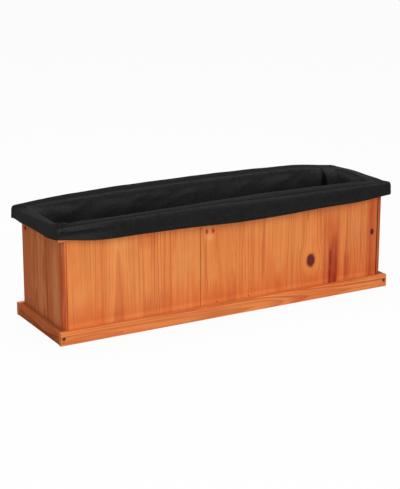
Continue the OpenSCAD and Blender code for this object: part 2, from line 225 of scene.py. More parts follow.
# %% Rings, fibres and stain
def wood(name, axes, span, heart_at, staves, early, late, rough=0.46, spacing=0.0044, seed=0.0):
    """A finish of glued staves. axes are the numbers of the axes along the grain, across
    the staves and through the board. Each stave is (its start across, its heart's place
    across, how its rings lean along the grain, its tone, how bold its rings are).
    heart_at is the heart's place through the board, spacing how far apart rings are."""
    w = Finish(name)
    point, facing = w.parts("Object"), w.parts("Normal")
    a, u, v = (point[i] for i in axes)
    low, length = span[0], span[1] - span[0]
    reach = 0.1  # how far a heart may lie outside the wall
    stops, bold_stops = [], []
    for start, heart, lean, tone, bold in staves:
        share = (start - low) / length
        at = min(max(share, 0.0), 1.0)
        heart_share = (heart - low + reach) / (length + 2 * reach)
        stops.append((at, (heart_share, 0.5 + lean * 4, tone, share)))
        bold_stops.append((at, (bold, bold, bold, 1)))
    share = (u - low) / length
    table, start, w.bold = (
        w.node("ValToRGB", {"stops": rows}, {0: share}, output)
        for rows, output in ((stops, 0), (stops, 1), (bold_stops, 0))
    )
    heart, lean, tone = (w.node("SeparateColor", inputs={0: table}, output=i) for i in range(3))
    w.a, w.u, w.v, w.tone, w.facing_parts = a, u, v, tone, facing
    w.heart, w.lean = heart * (length + 2 * reach) + (low - reach), lean
    w.from_joint = u - (start * length + low)
    w.flow = u
    w.axes, w.early, w.late, w.rough = axes, early, late, rough
    w.warm = [early[0] * 0.88, early[1] * 0.52, early[2] * 0.4]
    w.pale = [early[0] * 1.06, early[1] * 1.25, early[2] * 1.4]
    w.spacing, w.heart_at, w.seed = spacing, heart_at, seed
    return w


def oval(w, across, along, wide, high):
    """The squared distance from the middle of an oval: 1 on its edge."""
    du, da = (w.u - across) / wide, (w.a - along) / high
    return du * du + da * da


def flow_round(w, across, *rest):
    """Leads the grain round a knot."""
    w.flow = w.flow - (w.u - across) * oval(w, across, *rest).bell() * 0.92


def grow(w, joints=0.0, sunk=0.0):
    """Cuts the rings and colours them. joints is how dark the glued joints look, and
    sunk how much redder an upright board is at its foot."""
    own = w.heart * 37.0 + w.seed
    drift = w.cloud(w.flow * 5, w.v * 5, w.a * 2.4 + own, 1) - 0.5
    waver = w.cloud(w.flow * 45, w.v * 45, w.a * 9 + own, 2) - 0.5
    aside, deep = w.flow - w.heart, w.v - w.heart_at
    radius = (aside * aside + deep * deep) ** 0.5
    turn = (radius + (w.lean - 0.5) * 0.25 * w.a + drift * 0.02 + waver * 0.002) / w.spacing
    ring = turn.part()
    late = ring.hump(0.15, 0.85, 0.88, 1.0)
    chance = w.node("TexWhiteNoise", {"noise_dimensions": "1D"}, {"W": turn.whole() + own})
    years = w.cloud(turn * 0.31, own, w.a * 1.5, 1, w.seed + 1)
    depth = chance ** 2.5 * 0.7 + years.step(0.4, 0.7) * 0.35 + 0.12
    w.line = late * depth * (w.bold * 1.2 + 0.45)
    w.fibre = w.cloud(w.flow * 520, w.v * 520, w.a * 16, 2, w.seed)
    streak = w.cloud(w.flow * 120, w.v * 120, w.a * 3.2, 3, w.seed + 3)
    blot = w.cloud(w.u * 11, w.v * 11, w.a * 5, 2, w.seed + 7)
    warm = w.cloud(w.flow * 24, w.v * 24, w.a * 6, 2, w.seed + 5)
    pale = w.cloud(w.u * 12, w.v * 12, w.a * 12, 2, w.seed + 9)
    colour = w.mix(w.early, w.pale, pale.step(0.48, 0.72) * 0.6)
    colour = w.mix(colour, w.late, w.line)
    colour = w.mix(colour, w.late, streak.step(0.48, 0.74) * 0.5)
    redness = warm.step(0.45, 0.72) * 0.45 + 0.53 - w.tone
    if sunk:
        uneven = w.cloud(w.u * 26, w.v * 26, w.a * 8, 2, w.seed + 15)
        redness = redness + (1 - (w.a + uneven * 0.1).step(0.07, 0.19)) * sunk
    colour = w.mix(colour, w.warm, redness.most(0.0))
    if joints:
        thin = (w.from_joint * 1100.0) ** 2
        patchy = w.cloud(w.u * 20, w.v * 20, w.a * 14, 1, w.seed + 13)
        colour = w.mix(colour, w.late, thin.bell() * (patchy + 0.15) * joints)
    shade = (w.fibre - 0.5) * 0.16 + (blot - 0.5) * 0.16 + (w.tone - 0.5) * 0.3 + 1.0
    return w.shade(colour, shade)


# %% Knots, streaks, flames and pale places
def knot(w, colour, across, along, wide, high, heart=(0.12, 0.012, 0.012), halo=0.35):
    """A knot: a dark oval with rings of its own and a redder rim. A pale orange ring
    goes round it, the halo."""
    uneven = w.cloud(w.u * 160, w.v * 160, w.a * 160, 2, across) - 0.5
    away = oval(w, across, along, wide, high) ** 0.5 + uneven * 0.3
    rings = (away * 4.0).part().step(0.2, 0.9) * 0.4
    inside = w.mix(heart, [c * 0.6 for c in heart], rings)
    rim = [heart[0] * 1.7, heart[1] * 0.9, heart[2] * 0.4]
    inside = w.mix(inside, rim, away.step(0.55, 0.95))
    ring = away.hump(1.1, 1.4, 1.6, 2.7)
    colour = w.mix(colour, [0.86, 0.31, 0.05], ring * halo)
    around = 1 - away.step(0.95, 1.3)
    colour = w.mix(colour, [0.5, 0.12, 0.04], around * 0.7)
    return w.mix(colour, inside, 1 - away.step(0.75, 1.15))


def stain(w, colour, left, right, low, high, strength, tint):
    """A soft upright streak."""
    wave = (w.cloud(w.u * 130, w.v * 4, w.a * 5, 3, left) - 0.5) * 0.012
    soft = (high - low) * 0.22
    inside = (w.u + wave).hump(left - 0.003, left + 0.005, right - 0.005, right + 0.003)
    inside = inside * w.a.hump(low - soft, low + soft, high - soft, high + soft)
    thread = w.cloud(w.u * 300, w.v * 4, w.a * 6, 2, right)
    return w.mix(colour, tint, inside * (thread * 0.9 + 0.35) * strength, "MULTIPLY")


def flame(w, colour, across, apex, wide, strength, tint):
    """A pointed flame of darker wood that widens towards the foot of a wall."""
    wave = (w.cloud(w.u * 60, w.v * 4, w.a * 14, 2, across) - 0.5) * 0.006
    half = (apex - w.a).most(0.0) ** 0.5 * wide + 0.0004
    away = (w.u - across + wave).size() / half
    line = away.hump(0.6, 0.95, 1.0, 1.3) * 0.5
    inside = (1 - away.step(0.75, 1.1)) * (1.1 - w.a.step(0.0, apex) * 0.7)
    return w.mix(colour, tint, inside.most(line) * strength, "MULTIPLY")


def patch(w, colour, across, along, wide, high, tint, strength):
    """A soft uneven oval of another colour."""
    uneven = w.cloud(w.u * 70, w.v * 70, w.a * 40, 3, across) + 0.5
    near = oval(w, across, along, wide, high).bell()
    return w.mix(colour, tint, near * uneven * strength)


# %% Finish the boards
def finish_wood(w, colour, boards, bare=0.35, shine=0.22):
    """Darker end grain, paler worn edges, satin gloss and a fine relief. The finish is
    then given to boards of the construction."""
    along, across, out = (w.facing_parts[i].size() for i in w.axes)
    end = along.step(0.7, 0.95)
    colour = w.mix(colour, [0.55, 0.43, 0.38], end * 0.85, "MULTIPLY")
    wear_and_highlight = (across * out).step(0.2, 0.45) * (w.fibre * 0.9 + 0.2)
    colour = w.mix(colour, [0.83, 0.4, 0.17], wear_and_highlight * bare)
    gloss = (w.fibre - 0.5) * 0.16 + w.line * 0.08 + end * 0.2 + w.rough
    relief = w.line * 0.5 + w.fibre * 0.35
    bump = w.node("Bump", {}, {"Strength": 0.28, "Distance": 0.0007, "Height": relief})
    w.dress({"Base Color": colour, "Roughness": gloss, "Normal": bump})
    w.dress({"Specular IOR Level": shine})
    for name in boards:
        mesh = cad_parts[name].data
        mesh.materials.clear()
        mesh.materials.append(w.material)


print("wood ready")

# %% [markdown]
# ## The long walls
# The front wall is glued from staves of many widths. One joint, left of the middle, has
# opened. A large oval knot sits right of the middle with the grain flowing round it,
# and red streaks of resin rise beside it. The marks could be left to chance, as noise
# gives them, but then they never sit where the real ones do. So the staves, stains,
# flames, pale places and knots are listed, from left to right. One row of the stains
# is painted shadow: the cuff's shadow on the top of the wall. The staves are in
# millimetres, everything else in metres.

# %% Stave tables
EARLY = [0.80, 0.262, 0.062]
LATE = [0.5, 0.078, 0.01]


def metres(rows):
    """Staves from millimetres. A stave without a number for its rings gets bold ones."""
    rows = [row if len(row) > 4 else (*row, 0.6) for row in rows]
    return [(row[0] * 0.001, row[1] * 0.001, *row[2:]) for row in rows]


front_staves = metres([
    (-486, -590, 0.01, 0.6, 0.1),
    (-413, -520, 0, 0.66, 0.2),
    (-399, -500, 0, 0.64, 0.3),
    (-380, -480, 0, 0.6, 0.5),
    (-371, -480, 0, 0.64, 0.3),
    (-360, -329, 0.036, 0.68, 0.2),
    (-297, -400, 0, 0.68, 0.3),
    (-286, -400, 0.03, 0.7, 0.3),
    (-273, -360, 0.04, 0.68, 0.2),
    (-241, -340, 0, 0.7, 0.9),
    (-222, -320, 0.01, 0.72, 0.8),
    (-203, -300, 0, 0.69, 0.9),
    (-189, -300, 0.01, 0.7, 0.7),
    (-173, -290, 0, 0.64, 0.2),
    (-134, -250, 0, 0.66, 0.2),
    (-91, -190, 0.1, 0.58, 0.3),
    (-46, -140, 0.12, 0.58, 0.4),
    (15, -90, 0.02, 0.62, 0.3),
    (79, -60, 0, 0.6, 0.4),
    (92, -40, 0.05, 0.57, 0.6),
    (127, 20, 0, 0.6, 0.2),
    (183, 30, 0, 0.57, 0.6),
    (194, 90, 0.02, 0.6, 0.5),
    (288, 150, 0, 0.53, 0.3),
    (345, 480, 0.01, 0.54, 0.3),
    (365, 270, 0, 0.5, 0.7),
    (381, 290, 0, 0.54, 0.9),
    (437, 330, 0, 0.47, 0.3),
])
print("staves in the front wall:", len(front_staves))

# %% Front wall
WALL_SPAN = (-0.486, 0.486)
BIG_KNOT, DARK_KNOT = (0.2533, 0.1095), (0.4553, 0.162)
SEAM = -0.091
front = wood("front_wall_wood", (2, 0, 1), WALL_SPAN, -0.095, front_staves, EARLY, LATE)
flow_round(front, *BIG_KNOT, 0.03, 0.036)
flow_round(front, 0.455, 0.161, 0.008, 0.012)
colour = grow(front, 1.1, 0.85)
BLUSH = [0.8, 0.53, 0.48]
RED = [0.7, 0.37, 0.25]
DARK_RED = [0.5, 0.18, 0.11]
for *where, strength, tint in (
    (0.292, 0.348, 0.03, 0.235, 1.0, BLUSH),
    (0.324, 0.341, 0.02, 0.17, 1.1, RED),
    (0.329, 0.339, 0.02, 0.12, 0.8, RED),
    (0.311, 0.327, 0.02, 0.15, 1.1, RED),
    (0.315, 0.325, 0.085, 0.128, 1.0, DARK_RED),
    (0.313, 0.322, 0.02, 0.08, 1.0, DARK_RED),
    (0.326, 0.337, 0.02, 0.055, 0.8, DARK_RED),
    (0.362, 0.382, 0.04, 0.11, 1.0, BLUSH),
    (0.434, 0.474, -0.02, 0.3, 1.1, BLUSH),
    (0.447, 0.46, 0.0, 0.262, 0.8, RED),
    (-0.275, -0.222, 0.22, 0.28, 0.6, BLUSH),
    (-0.265, -0.236, 0.0, 0.09, 0.5, BLUSH),
    (-0.24, -0.172, 0.0, 0.1, 0.35, BLUSH),
    (-0.38, -0.371, 0.0, 0.29, 0.6, BLUSH),
    (0.238, 0.245, 0.222, 0.25, 0.9, RED),
    # Painted shadow, not a stain: the cuff's shadow on the top of the wall right of the big knot.
    (0.235, 0.37, 0.232, 0.31, 0.35, BLUSH),
):
    colour = stain(front, colour, *where, strength, tint)
colour = flame(front, colour, -0.3285, 0.217, 0.0354, 0.8, BLUSH)
colour = flame(front, colour, 0.002, 0.13, 0.05, 0.5, BLUSH)
print("stained nodes:", len(front.tree.nodes))

# %% Pale places, knots, painted light at the foot, and seam of the front wall
RED_WOOD = [0.62, 0.11, 0.03]
PALE = [0.86, 0.36, 0.115]
for *where, tint, strength in (
    (-0.18, 0.154, 0.008, 0.007, RED_WOOD, 0.35),
    (-0.063, 0.221, 0.01, 0.011, PALE, 0.9),
    (-0.44, 0.12, 0.02, 0.03, PALE, 0.35),
    (-0.33, 0.235, 0.03, 0.02, PALE, 0.3),
    (-0.29, 0.13, 0.13, 0.12, PALE, 0.22),
    (-0.14, 0.17, 0.04, 0.05, PALE, 0.25),
    (0.2, 0.19, 0.04, 0.04, PALE, 0.15),
    (0.4, 0.2, 0.03, 0.06, PALE, 0.3),
):
    colour = patch(front, colour, *where, tint, strength)
colour = knot(front, colour, *BIG_KNOT, 0.0133, 0.019)
colour = knot(front, colour, *DARK_KNOT, 0.0062, 0.0096, (0.085, 0.001, 0.0005), 0.0)
for where in ((-0.0727, 0.2375, 0.0044, 0.007), (-0.0537, 0.237, 0.0042, 0.0066)):
    colour = knot(front, colour, *where, (0.42, 0.07, 0.02), 0.0)
# Painted light: the foot of the wall, just above the plinth, is painted paler and less red,
# against the shade and the red light that the plinth's ledge bounces there.
foot = 1 - front.a.step(0.039, 0.054)
colour = front.mix(colour, [1.15, 1.5, 1.8], foot, "MULTIPLY")
seam = ((front.u - SEAM) * 900.0) ** 2
colour = front.mix(colour, [0.3, 0.06, 0.015], seam.bell() * 0.8)
finish_wood(front, colour, ["front_board_left", "front_board_right"])
print("front wall nodes:", len(front.tree.nodes))

# %% Back wall
back_staves = metres([
    (-486, -430, 0.02, 0.5),
    (-410, -450, 0, 0.62),
    (-352, -300, 0.03, 0.45),
    (-280, -252, -0.03, 0.55),
    (-215, -130, 0, 0.5),
    (-150, -180, 0.02, 0.58),
    (-88.4, -20, 0, 0.46),
    (-30, 10, 0.03, 0.6),
    (44, 130, 0, 0.5),
    (100, 80, -0.02, 0.55),
    (162, 196, 0.035, 0.5),
    (228, 330, 0, 0.6),
    (296, 280, 0.02, 0.45),
    (362, 430, 0, 0.55),
    (424, 450, 0.03, 0.5),
])
back = wood("back_wall_wood", (2, 0, 1), WALL_SPAN, 0.095, back_staves, EARLY, LATE, seed=11)
flow_round(back, -0.252, 0.19, 0.02, 0.028)
colour = grow(back, 1.0, 0.5)
colour = stain(back, colour, 0.19, 0.204, 0.04, 0.2, 0.8, RED)
colour = knot(back, colour, -0.252, 0.19, 0.009, 0.014)
colour = knot(back, colour, 0.066, 0.084, 0.0045, 0.006, (0.16, 0.04, 0.02))
finish_wood(back, colour, ["back_board_left", "back_board_right"])
print("back wall nodes:", len(back.tree.nodes))

# %% [markdown]
# ## The end walls
# The end walls have taken the stain more deeply, so they are redder and browner. Their
# edges show beside the front wall, a little set back. A darker tint over the long
# walls' finish could do, but their grain is duller too, so they get their own colours.

# %% End walls
END_EARLY = [0.54, 0.174, 0.065]
END_LATE = [0.32, 0.078, 0.024]


def tint_and_shade_edges(w, colour, inner, outer, start=0.4745):
    """Tints the upright edges of an end wall. inner and outer tint the half of the edge
    next to the long wall and the half at the box's end, which begins at start. A dark
    inner tint is painted shade: the shadow in the groove beside the long wall."""
    edge = w.facing_parts[1].size().step(0.6, 0.9)
    tint = w.mix(inner, outer, w.v.size().step(start, start + 0.002))
    return w.mix(colour, tint, edge, "MULTIPLY")


left_staves = metres([
    (-128, -60, 0.02, 0.5),
    (-92, -120, 0, 0.44),
    (-48, -10, 0.02, 0.5),
    (12, 40, 0.03, 0.55),
    (70, 10, 0, 0.46),
])
left = wood(
    "left_end_wood", (2, 1, 0), (-0.128, 0.128), -0.455, left_staves, END_EARLY, END_LATE, seed=23
)
colour = grow(left, 0.6)
DULL = [0.68, 0.5, 0.38]
for *where, strength, tint in (
    (-0.036, -0.026, 0.0, 0.3, 0.9, DULL),
    (-0.026, -0.006, 0.13, 0.21, 0.6, DULL),
    (-0.012, -0.003, 0.04, 0.1, 0.6, DULL),
    (0.012, 0.02, 0.12, 0.24, 0.4, DULL),
    (0.062, 0.075, 0.02, 0.1, 0.4, DULL),
    (-0.14, -0.1136, -0.05, 0.35, 1.1, [0.86, 0.48, 0.4]),
):
    colour = stain(left, colour, *where, strength, tint)
for across, wide, tint, strength in (
    (-0.086, 0.022, [0.7, 0.28, 0.12], 0.45),
    (0.008, 0.022, [0.68, 0.26, 0.11], 0.3),
    (0.078, 0.03, [0.42, 0.12, 0.045], 0.35),
):
    colour = patch(left, colour, across, 0.145, wide, 0.16, tint, strength)
colour = knot(left, colour, 0.1, 0.247, 0.007, 0.0055, halo=0.0)
colour = tint_and_shade_edges(left, colour, [1.9, 2.6, 2.8], [1.1, 1.5, 1.9])
finish_wood(left, colour, ["left_end_panel"], 0.05, 0.0)
right_staves = metres(
    [(-128, -150, 0.0, 0.5), (-70, -35, 0.03, 0.6), (-4, 60, 0.0, 0.48), (62, 85, 0.02, 0.55)]
)
right = wood(
    "right_end_wood", (2, 1, 0), (-0.128, 0.128), 0.455, right_staves, END_EARLY, END_LATE,
    seed=31,
)
# The right end's nearly black inner tint is painted shade, in the groove between the front wall
# and the set-back edge.
colour = tint_and_shade_edges(right, grow(right, 0.6), [0.13, 0.03, 0.015], [1.0, 0.76, 0.68], 0.4755)
finish_wood(right, colour, ["right_end_panel"], 0.05, 0.0)
print("end walls done")

# %% [markdown]
# ## Rails, rim and the hidden wood
# The rails of the plinth and the rim are sawn in one piece each, with the grain along
# them. The posts, cleats and slats inside were only brushed with thin stain, so they
# stay paler and rougher.

# %% Plinth
RAIL_EARLY, RAIL_LATE = [0.84, 0.268, 0.069], [0.48, 0.092, 0.018]
END_RAIL_EARLY, END_RAIL_LATE = [0.44, 0.121, 0.043], [0.27, 0.056, 0.0165]
SCREW_ENDS, SCREW_HIGH = (-0.4925, 0.4925), 0.0175
one_piece = metres([(-40, 10, 0.02, 0.57, 0.5)])
for name, axes, heart, seed in (
    ("plinth_front", (0, 2, 1), -0.112, 41),
    ("plinth_back", (0, 2, 1), 0.118, 47),
    ("plinth_left", (1, 2, 0), -0.47, 53),
    ("plinth_right", (1, 2, 0), 0.462, 59),
):
    is_long = axes[0] == 0
    tones = (RAIL_EARLY, RAIL_LATE) if is_long else (END_RAIL_EARLY, END_RAIL_LATE)
    rail = wood(name + "_wood", axes, (-0.04, 0.35), heart, one_piece, *tones, 0.46, 0.0038, seed)
    colour = grow(rail)
    for screw in SCREW_ENDS if is_long else ():  # a dark ring round each screw: stain, and painted shade of the hole the head sits in
        near = oval(rail, SCREW_HIGH, screw, 1 / 190, 1 / 190).bell()
        colour = rail.mix(colour, [0.12, 0.04, 0.012], near * 0.9)
    bare, shine = (0.3, 0.22) if is_long else (0.2, 0.0)
    finish_wood(rail, colour, [name], bare, shine)
print("plinth done")

# %% Rim
for name, axes, heart, seed in (
    ("rim_front", (0, 1, 2), 0.25, 61),
    ("rim_back", (0, 1, 2), 0.252, 67),
    ("rim_left", (1, 0, 2), 0.25, 71),
    ("rim_right", (1, 0, 2), 0.247, 73),
):
    span = [end[axes[1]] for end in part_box(name)]
    stave = [(span[0], (span[0] + span[1]) / 2 + 0.012, 0.01, 0.55, 0.5)]
    rail = wood(name + "_wood", axes, span, heart, stave, RAIL_EARLY, RAIL_LATE, seed=seed)
    finish_wood(rail, grow(rail), [name])
print("rim done")

# %% Posts, cleats and slats
INNER_EARLY, INNER_LATE = [0.72, 0.36, 0.155], [0.5, 0.19, 0.07]
post_names = ["post_front_left", "post_front_right", "post_back_left", "post_back_right"]
cleat_names = ["cleat_front", "cleat_back"]
slat_names = ["floor_slat_%d" % i for i in range(1, 11)]
slat_staves = []
for i, name in enumerate(slat_names, 1):
    left_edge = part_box(name)[0].x
    heart = left_edge + (i * 37 % 90) * 0.001
    lean, tone = 0.02 - 0.04 * (i % 2), 0.4 + 0.06 * (i * 3 % 7)
    slat_staves.append((left_edge - 0.003, heart, lean, tone, 0.6))
for name, axes, span, heart_at, staves, seed, boards in (
    ("post_wood", (2, 0, 1), (-0.5, 0.5), 0.02, [(-0.5, 0.3, 0.02, 0.5, 0.6)], 79, post_names),
    ("cleat_wood", (0, 2, 1), (0.0, 0.1), 0.03, [(0.0, 0.02, 0.01, 0.5, 0.6)], 83, cleat_names),
    ("slat_wood", (1, 0, 2), (-0.475, 0.475), 0.03, slat_staves, 89, slat_names),
):
    inner = wood(name, axes, span, heart_at, staves, INNER_EARLY, INNER_LATE, 0.7, 0.005, seed)
    finish_wood(inner, grow(inner), boards)
print("hidden wood done")

# %% [markdown]
# ## Screws and brads
# Small dark screws hold the box, with a cross for the driver in each head. They are all
# one shape, so one screw is modelled, and each place gets a copy. The places are read
# from the construction: every screw there is an island of its mesh, and the wide end
# of the island is the head.


# %% Find the screws
def islands(name):
    """The separate solids of one node, each as a list of its points."""
    copy = bmesh.new()
    copy.from_mesh(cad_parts[name].data)
    bmesh.ops.remove_doubles(copy, verts=copy.verts, dist=1e-6)
    left_over, found = set(copy.verts), []
    while left_over:
        stack, island = [left_over.pop()], []
        while stack:
            vert = stack.pop()
            island.append(vert.co.copy())
            others = {edge.other_vert(vert) for edge in vert.link_edges} & left_over
            left_over -= others
            stack += others
        found.append(island)
    copy.free()
    return found


def head_and_tip(points):
    """The middle of a screw's head and of its tip."""
    low = Vector([min(p[i] for p in points) for i in range(3)])
    high = Vector([max(p[i] for p in points) for i in range(3)])
    axis = max(range(3), key=lambda i: high[i] - low[i])
    ends = []
    for value in (low[axis], high[axis]):
        middle = (low + high) / 2
        middle[axis] = value
        near = [p for p in points if abs(p[axis] - value) < 1e-4]
        ends.append((max((p - middle).length for p in near), middle))
    ends.sort(key=lambda end: -end[0])
    return ends[0][1], ends[1][1], ends[0][0]


places = {
    name: [head_and_tip(island) for island in islands(name)]
    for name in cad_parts
    if name.endswith("_screws") or name == "board_brads"
}
print({name: len(found) for name, found in places.items()})

# %% [markdown]
# The head is a short cone. Its cross could be drawn in a bump, but a real recess catches
# light and shadow from every side. Two crossed wedges are cut out of the cone with a
# Boolean modifier.


# %% Model one screw and one brad
def alone(piece):
    deselect()
    piece.select_set(True)
    bpy.context.view_layer.objects.active = piece


def add(name, mesh):
    """A new object of a mesh, put in the scene."""
    made = bpy.data.objects.new(name, mesh)
    bpy.context.scene.collection.objects.link(made)
    return made


def cone(wide, narrow, start, end, sides):
    deselect()
    bpy.ops.mesh.primitive_cone_add(
        vertices=sides, radius1=narrow, radius2=wide, depth=start - end,
        location=(0, 0, (start + end) / 2),
    )
    bpy.ops.object.transform_apply()
    return bpy.context.object


def model_screw(head, shank, length, cross):
    piece = cone(head, shank, 0.0, -(head - shank), 20)
    bpy.ops.object.mode_set(mode="EDIT")
    bpy.ops.mesh.select_all(action="DESELECT")
    shape = bmesh.from_edit_mesh(piece.data)
    shape.faces.ensure_lookup_table()
    for face in shape.faces:
        face.select_set(face.normal.z < -0.9)
    bmesh.update_edit_mesh(piece.data)
    bpy.ops.mesh.extrude_region_move(
        TRANSFORM_OT_translate={"value": (0, 0, -(length - 1.8 * head))}
    )
    bpy.ops.mesh.extrude_region_move(TRANSFORM_OT_translate={"value": (0, 0, -0.8 * head)})
    bpy.ops.transform.resize(value=(0.3, 0.3, 1))
    bpy.ops.object.mode_set(mode="OBJECT")
    if cross:
        for turn in (0, math.pi / 2):
            deselect()
            bpy.ops.mesh.primitive_cube_add(size=1, rotation=(0, 0, turn))
            blade = bpy.context.object
            blade.scale = (head * 1.15, head * 0.26, head * 0.84)
            bpy.ops.object.transform_apply()
            alone(piece)
            cut = piece.modifiers.new("cross", "BOOLEAN")
            cut.operation, cut.object, cut.solver = "DIFFERENCE", blade, "EXACT"
            bpy.ops.object.modifier_apply(modifier="cross")
            bpy.data.objects.remove(blade)
    alone(piece)
    edge = piece.modifiers.new("edge", "BEVEL")
    edge.width, edge.segments, edge.limit_method = 0.0001, 2, "ANGLE"
    bpy.ops.object.modifier_apply(modifier="edge")
    bpy.ops.object.shade_smooth_by_angle(angle=math.radians(35))
    return piece


steel = Finish("dark_screw_steel")
x, y, z = steel.parts("Object")
tarnish = steel.cloud(x * 900, y * 900, z * 900, 3)
BROWNED, TARNISHED = [0.045, 0.009, 0.002], [0.13, 0.026, 0.006]
colour = steel.mix(BROWNED, TARNISHED, tarnish.step(0.35, 0.7))
steel.dress({"Base Color": colour, "Roughness": tarnish * 0.25 + 0.4, "Metallic": 1.0})

# %% Copy them to their places
for name, found in places.items():
    head, tip, radius = found[0]
    nail = name == "board_brads"
    shank = radius * (0.56 if nail else 0.486)
    model = model_screw(radius, shank, (head - tip).length, not nail)
    copies = []
    for number, (head, tip, _) in enumerate(found):
        turn = (tip - head).to_track_quat("-Z", "Y").to_matrix().to_4x4()
        roll = Matrix.Rotation(number * 2.4, 4, "Z")
        copy = add(name + "_%d" % number, model.data.copy())
        copy.data.transform(Matrix.Translation(head) @ turn @ roll)
        copies.append(copy)
    bpy.data.objects.remove(model)
    alone(copies[0])
    for copy in copies:
        copy.select_set(True)
    bpy.ops.object.join()
    piece = bpy.context.object
    piece.name = name.replace("_screws", "_screw_set").replace("_brads", "_brad_set")
    piece.data.materials.clear()
    piece.data.materials.append(steel.material)
    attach(piece, "box")
    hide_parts(name)
    print(piece.name, len(found), "pieces,", len(piece.data.polygons), "faces")

# %% [markdown]
# ## The felt liner
# The liner is a bag of thick black felt. Its walls stand in the box and sag a little,
# its corners go round the corner posts, and its mouth is turned over the rim as a cuff.
# The cuff keeps its fold: it puffs up between the corners and its skirt bows outwards.
#
# A cloth simulation could find such a shape, but the felt is stiff and was folded by
# hand, and each corner sits differently. So the cloth is lofted: one line runs from the
# bottom, up the wall, over the rim and down to the hem, and the line changes smoothly
# as it goes round the box. The numbers are in millimetres.
#
# Each list below has four rows, one for each side: front, right, back and left. A row's
# nine numbers are shares of one size, from the side's first corner to its last. puff
# raises the cuff, press flattens it, bow pushes the skirt out, lean moves the cuff's
# inner edge, rise lifts that edge, and drop lengthens the skirt.

# %% Sizes of the liner
OUTER = (1000.0, 283.0)
RIM_TOP, RIM_WIDE = 286.0, 30.0
FELT, LIE = 2.0, 1.3  # how thick the felt is, and how high its middle lies when pressed
WALL = -RIM_WIDE - 1.6 - FELT / 2
FOOT = 60.3
BAG_CORNER = 40.8
STAND, PUFF, OUT, BOW = 12.0, 9.0, 2.6, 13.0
LEAN, RISE, DROP, SAG, FOLD = 10.0, 3.0, 20.0, 7.0, 3.0
SKIRT_CORNER = 2 * OUT - FELT - 0.3 * math.sqrt(2)
CUFF_CORNER = 7.0

puff_rows = [
    [1.25, 1.25, 1.35, 1.45, 1.42, 1.33, 1.15, 0.95, 0.4],
    [0.4, 0.35, 0.5, 0.5, 0.55, 0.6, 0.5, 0.2, 0],
    [0, 0.6, 0.85, 1.1, 1.2, 1.25, 1.1, 0.8, 0.2],
    [0.2, -0.1, -0.05, 0.05, 0.2, 0.3, 0.45, 0.65, 1.25],
]
press_rows = [
    [0] * 9,
    [0, 0.15, 0.15, 0.2, 0.25, 0.4, 0.6, 0.85, 1],
    [1, 0.15, 0, 0, 0, 0, 0, 0, 0],
    [0] * 9,
]
bow_rows = [
    [0, 0.25, 0.5, 0.65, 0.75, 0.75, 0.6, 0.35, 0],
    [0, 0.1, 0.15, 0.2, 0.2, 0.2, 0.15, 0.1, 0],
    [0, 0.4, 0.7, 0.9, 1, 0.95, 0.8, 0.5, 0.2],
    [0.2, 0.2, 0.2, 0.15, 0.05, 0, 0, 0, 0],
]
lean_rows = [
    [0.2, 0.4, 0.6, 0.75, 0.85, 0.9, 0.75, 0.6, 0.2],
    [0.2, 0, -0.1, -0.2, -0.2, -0.2, -0.2, -0.1, 0],
    [0, 0, 0, 0, 0, 0, 0, 0, -0.5],
    [-0.5, -0.4, -0.3, -0.3, -0.3, -0.3, -0.5, -0.4, 0.2],
]
rise_rows = [
    [0.3, -0.8, -1.25, -1.3, -0.8, -0.15, -0.2, -0.15, -0.45],
    [-0.45, 0.2, 0.6, 0.8, 0.9, 0.9, 0.8, 0.4, 0],
    [0, -0.45, -0.9, -1.1, -1.15, -1.2, -1.2, -0.95, -0.15],
    [-0.15, 0.05, -0.15, -0.45, -0.75, -0.95, -1.2, -0.95, 0.4],
]
drop_rows = [
    [0.2, 0.95, 1, 1.1, 1.35, 1.35, 1.2, 1.2, 0.85],
    [0.85, 0.95, 1, 1, 1.05, 1.05, 1.05, 1, 1],
    [1, 1.05, 1.1, 1.2, 1.2, 1.2, 1.1, 1.05, 1],
    [1, 0.8, 0.85, 0.75, 0.75, 0.75, 0.75, 0.5, 0.2],
]
print("rows, one for each side:", len(puff_rows))


# %% One line of the cloth
def curve(values, t):
    """A smooth curve through evenly spaced values, numbers or points."""
    last = len(values) - 1
    i = min(int(t * last), last - 1)
    t = t * last - i
    a, b = values[max(i - 1, 0)], values[i]
    c, d = values[i + 1], values[min(i + 2, last)]
    return b + t * (c - a + t * (2 * a - 5 * b + 4 * c - d + t * (3 * (b - c) + d - a))) / 2


